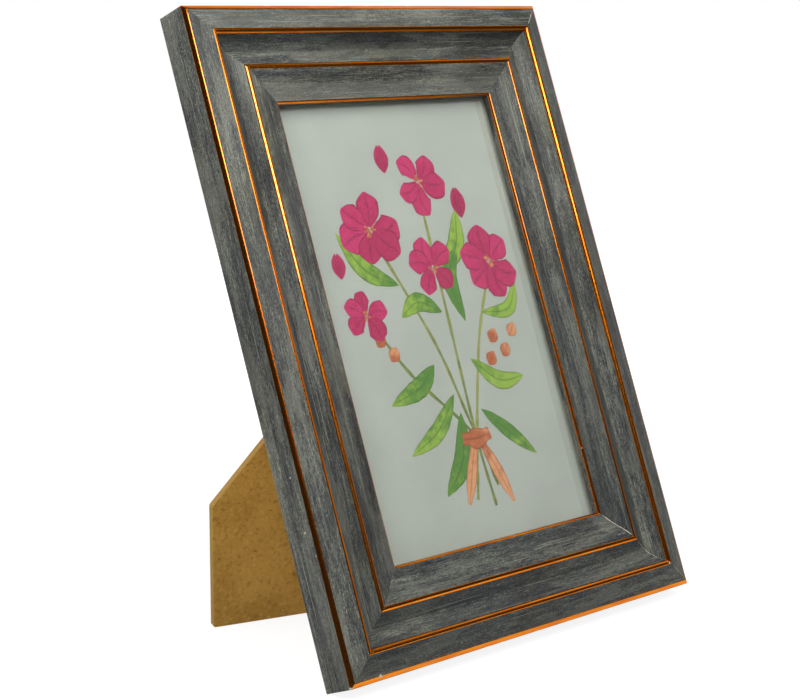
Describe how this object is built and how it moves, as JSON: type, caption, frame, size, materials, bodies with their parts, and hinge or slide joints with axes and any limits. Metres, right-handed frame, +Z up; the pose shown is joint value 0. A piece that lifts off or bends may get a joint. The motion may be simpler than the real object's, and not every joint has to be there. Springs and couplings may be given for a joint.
{
  "type": "tabletop picture frame",
  "caption": "Wooden picture frame with foil-edged moulding, glass and print, standing on a hinged diagonal easel strut, with turn buttons and wall hangers on its back.",
  "frame": {"origin": "on the table under the middle of the standing object: the middle of its width and of its depth, at the height of the rear bottom edge and the strut's foot", "axes": "+X to the viewer's right as seen from the front, +Y from the front to the back, +Z up; the frame leans back by 21 degrees about its rear bottom edge"},
  "size_m": [0.1484, 0.082, 0.1897],
  "materials": {
    "moulding": "grey-washed wood with fine streaked grain, matt",
    "copper_foil": "patinated copper leaf, half gloss",
    "glass": "clear float glass",
    "print": "printed sheet with a botanical spray, matt",
    "card": "plain packing card",
    "board": "bare fibreboard with dark specks",
    "steel": "zinc-plated pressed steel",
    "brass": "brass-plated steel, satin"
  },
  "bodies": {
    "frame": {"rail_top": "moulding", "rail_bottom": "moulding", "rail_left": "moulding", "rail_right": "moulding", "foil_outer_edge": "copper_foil", "foil_crest": "copper_foil", "foil_inner_step": "copper_foil", "foil_sight_edge": "copper_foil", "corner_nails": "steel", "glass_pane": "glass", "print_sheet": "print", "packing_card": "card", "back_board": "board", "hinge_base_leaf": "steel", "hinge_base_rivets": "steel", "hinge_pin": "steel", "turn_button_screws": "steel", "portrait_hanger_strap": "brass", "landscape_hanger_strap": "brass", "hanger_screws": "brass"},
    "strut": {"hinge_flap_leaf": "steel", "hinge_flap_rivets": "steel", "strut_board": "board"},
    "button_top": {"turn_button_top": "steel"},
    "button_bottom": {"turn_button_bottom": "steel"},
    "button_left": {"turn_button_left": "steel"},
    "button_right": {"turn_button_right": "steel"},
    "portrait_ring": {"portrait_hanger_ring": "brass"},
    "landscape_ring": {"landscape_hanger_ring": "brass"}
  },
  "joints": [
    {"name": "strut_hinge", "type": "hinge", "parent": "frame", "child": "strut", "pos_m": [-0.008, 0.00819, 0.0939], "axis": [0.8829, -0.1682, -0.4383], "range_deg": [-34, 0]},
    {"name": "button_top_turn", "type": "hinge", "parent": "frame", "child": "button_top", "pos_m": [0.02374, 0.03551, 0.16911], "axis": [0, 0.9336, -0.3584], "continuous": true},
    {"name": "button_bottom_turn", "type": "hinge", "parent": "frame", "child": "button_bottom", "pos_m": [0.02374, -0.02326, 0.016], "axis": [0, 0.9336, -0.3584], "continuous": true},
    {"name": "button_left_turn", "type": "hinge", "parent": "frame", "child": "button_left", "pos_m": [-0.0566, 0.01755, 0.12231], "axis": [0, 0.9336, -0.3584], "continuous": true},
    {"name": "button_right_turn", "type": "hinge", "parent": "frame", "child": "button_right", "pos_m": [0.0566, 0.01755, 0.12231], "axis": [0, 0.9336, -0.3584], "continuous": true},
    {"name": "portrait_ring_swing", "type": "hinge", "parent": "frame", "child": "portrait_ring", "pos_m": [0, 0.03727, 0.17217], "axis": [1, 0, 0], "range_deg": [-20, 158]},
    {"name": "landscape_ring_swing", "type": "hinge", "parent": "frame", "child": "landscape_ring", "pos_m": [0.06009, 0.00664, 0.09236], "axis": [0, 0.3584, 0.9336], "range_deg": [-89, 89]}
  ]
}
